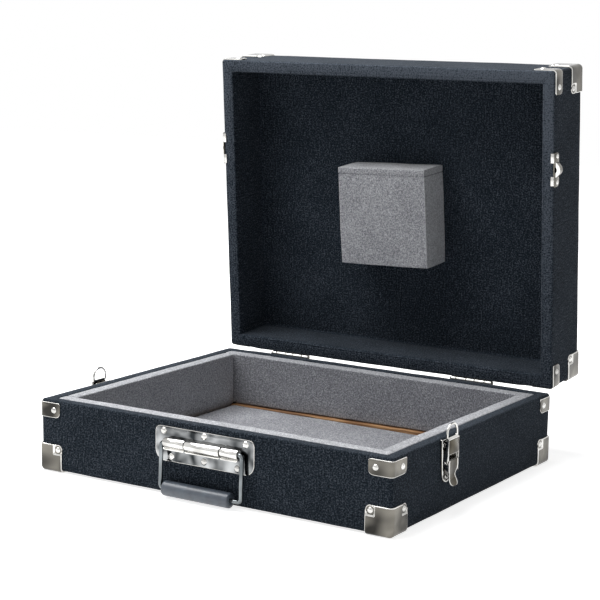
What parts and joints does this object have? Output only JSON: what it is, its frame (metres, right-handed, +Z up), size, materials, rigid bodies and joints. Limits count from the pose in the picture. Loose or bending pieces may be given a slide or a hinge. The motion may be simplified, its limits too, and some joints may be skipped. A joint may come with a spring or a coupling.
{
  "type": "turntable case",
  "caption": "Carpeted plywood turntable case with a hinged lid, foam lining, metal corner caps and rim braces, draw latches and a drop handle.",
  "frame": {"origin": "under the middle of the open case's outline, on the surface that the base's corner caps stand on", "axes": "+X to the right along the long front, -Y out of the front with the handle, +Z up; the lid stands open on its hinges at the rear"},
  "size_m": [0.5628, 0.543, 0.5377],
  "materials": {
    "carpet": "needled ribless carpet, near black with a blue-grey fleck",
    "foam": "recycled chip foam, mid grey with pale flecks",
    "plywood": "bare birch plywood",
    "nickel": "bright nickel plate on pressed steel",
    "vinyl": "smooth dark grey vinyl sleeve"
  },
  "bodies": {
    "base": {"base_bottom_panel": "plywood", "base_front_panel": "plywood", "base_rear_panel": "plywood", "base_left_panel": "plywood", "base_right_panel": "plywood", "base_carpet": "carpet", "floor_pad": "foam", "rear_batten": "plywood", "foam_strip_front": "foam", "foam_strip_rear": "foam", "foam_strip_left": "foam", "foam_strip_right": "foam", "base_corner_cap_front_right": "nickel", "base_corner_cap_front_left": "nickel", "base_corner_cap_rear_right": "nickel", "base_corner_cap_rear_left": "nickel", "base_rim_brace_front_right": "nickel", "base_rim_brace_front_left": "nickel", "base_rim_brace_rear_right": "nickel", "base_rim_brace_rear_left": "nickel", "handle_plate": "nickel", "hinge_left_base_leaf": "nickel", "hinge_left_pin": "nickel", "hinge_right_base_leaf": "nickel", "hinge_right_pin": "nickel", "latch_right_base": "nickel", "latch_right_pin": "nickel", "latch_left_base": "nickel", "latch_left_pin": "nickel"},
    "lid": {"lid_top_panel": "plywood", "lid_front_panel": "plywood", "lid_rear_panel": "plywood", "lid_left_panel": "plywood", "lid_right_panel": "plywood", "lid_carpet": "carpet", "lid_lining": "carpet", "lid_foam_block": "foam", "lid_corner_cap_front_right": "nickel", "lid_corner_cap_front_left": "nickel", "lid_corner_cap_rear_right": "nickel", "lid_corner_cap_rear_left": "nickel", "lid_rim_brace_front_right": "nickel", "lid_rim_brace_front_left": "nickel", "lid_rim_brace_rear_right": "nickel", "lid_rim_brace_rear_left": "nickel", "hinge_left_lid_leaf": "nickel", "hinge_right_lid_leaf": "nickel", "keeper_right": "nickel", "keeper_left": "nickel"},
    "handle": {"handle_bail": "nickel", "handle_grip": "vinyl"},
    "latch_right_lever": {"latch_right_lever": "nickel"},
    "latch_right_loop": {"latch_right_loop": "nickel"},
    "latch_left_lever": {"latch_left_lever": "nickel"},
    "latch_left_loop": {"latch_left_loop": "nickel"}
  },
  "joints": [
    {"name": "lid_hinge", "type": "hinge", "parent": "base", "child": "lid", "pos_m": [0, 0.1825, 0.097], "axis": [1, 0, 0], "range_deg": [0, 86]},
    {"name": "handle_swing", "type": "hinge", "parent": "base", "child": "handle", "pos_m": [-0.001, -0.2588, 0.07], "axis": [-1, 0, 0], "range_deg": [0, 90]},
    {"name": "latch_right_lever_hinge", "type": "hinge", "parent": "base", "child": "latch_right_lever", "pos_m": [0.2715, -0.121, 0.079], "axis": [0, -1, 0], "range_deg": [0, 105]},
    {"name": "latch_right_loop_hinge", "type": "hinge", "parent": "latch_right_lever", "child": "latch_right_loop", "pos_m": [0.2713, -0.121, 0.067], "axis": [0, 1, 0], "range_deg": [0, 118]},
    {"name": "latch_left_lever_hinge", "type": "hinge", "parent": "base", "child": "latch_left_lever", "pos_m": [-0.2715, -0.121, 0.079], "axis": [0, 1, 0], "range_deg": [0, 105]},
    {"name": "latch_left_loop_hinge", "type": "hinge", "parent": "latch_left_lever", "child": "latch_left_loop", "pos_m": [-0.2713, -0.121, 0.067], "axis": [0, -1, 0], "range_deg": [0, 118]}
  ],
  "couplings": [
    {"joint": "latch_right_loop_hinge", "follows": "latch_right_lever_hinge", "ratio": 1.1},
    {"joint": "latch_left_loop_hinge", "follows": "latch_left_lever_hinge", "ratio": 1.1}
  ]
}
